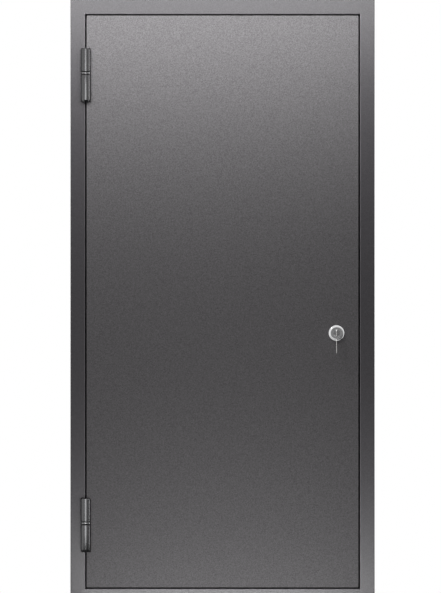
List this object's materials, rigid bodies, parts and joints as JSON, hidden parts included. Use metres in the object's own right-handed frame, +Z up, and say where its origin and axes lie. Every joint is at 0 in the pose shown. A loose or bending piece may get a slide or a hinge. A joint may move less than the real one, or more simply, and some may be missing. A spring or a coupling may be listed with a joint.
{
  "type": "single steel door with frame",
  "caption": "Flush steel single door in a mitred steel frame, hung on barrel hinges, with a round lock rosette, a key in the lock and a spare key hanging from it.",
  "frame": {"origin": "middle of the frame's underside, halfway through its depth", "axes": "+X to the right as seen from the side that the door opens to, +Y into the wall, +Z up"},
  "size_m": [1, 0.1064, 1.986],
  "materials": {
    "powder_coated_leaf": "fine-grained mid-grey powder coat",
    "powder_coated_frame": "fine-grained dark grey powder coat, smoother than the leaf's",
    "lacquered_barrel_steel": "turned steel in a semi-gloss grey lacquer",
    "bright_bearing_steel": "bright turned steel",
    "zinc_plated_steel": "bright zinc plate",
    "polished_chrome": "polished chrome plate",
    "nickel_plated_brass": "satin nickel plate on brass",
    "nickel_silver_key": "milled nickel silver",
    "spring_steel_wire": "nickel-plated wire",
    "seal_rubber": "matt black extruded rubber"
  },
  "bodies": {
    "frame": {"hinge_jamb": "powder_coated_frame", "lock_jamb": "powder_coated_frame", "head_rail": "powder_coated_frame", "sill_rail": "powder_coated_frame", "strike_plate": "zinc_plated_steel", "strike_box": "zinc_plated_steel", "stop_hinge_side": "powder_coated_frame", "stop_lock_side": "powder_coated_frame", "stop_head": "powder_coated_frame", "stop_sill": "powder_coated_frame", "seal_hinge_side": "seal_rubber", "seal_lock_side": "seal_rubber", "seal_head": "seal_rubber", "seal_sill": "seal_rubber", "hinge_bottom_frame_knuckle": "lacquered_barrel_steel", "hinge_bottom_washer": "bright_bearing_steel", "hinge_bottom_pin": "bright_bearing_steel", "hinge_top_frame_knuckle": "lacquered_barrel_steel", "hinge_top_washer": "bright_bearing_steel", "hinge_top_pin": "bright_bearing_steel"},
    "leaf": {"leaf_outer_tray": "powder_coated_leaf", "leaf_inner_sheet": "powder_coated_leaf", "lock_case": "zinc_plated_steel", "lock_faceplate": "zinc_plated_steel", "deadbolt": "zinc_plated_steel", "rosette_outside": "polished_chrome", "rosette_inside": "polished_chrome", "lock_cylinder": "nickel_plated_brass", "plug_inside": "nickel_plated_brass", "hinge_bottom_leaf_knuckle": "lacquered_barrel_steel", "hinge_top_leaf_knuckle": "lacquered_barrel_steel"},
    "key": {"plug_outside": "nickel_plated_brass", "key_in_lock": "nickel_silver_key"},
    "spare": {"key_ring": "spring_steel_wire", "spare_key": "nickel_silver_key"}
  },
  "joints": [
    {"name": "leaf_swing", "type": "hinge", "parent": "frame", "child": "leaf", "pos_m": [-0.4495, -0.039, 0.993], "axis": [0, 0, -1], "range_deg": [0, 175]},
    {"name": "key_turn", "type": "hinge", "parent": "leaf", "child": "key", "pos_m": [0.3745, -0.035, 0.8895], "axis": [0, 1, 0], "range_deg": [0, 90]},
    {"name": "ring_hang", "type": "hinge", "parent": "key", "child": "spare", "pos_m": [0.3745, -0.0599, 0.8793], "axis": [0, 1, 0], "range_deg": [-90, 0]}
  ],
  "couplings": [
    {"joint": "ring_hang", "follows": "key_turn", "ratio": -1}
  ]
}
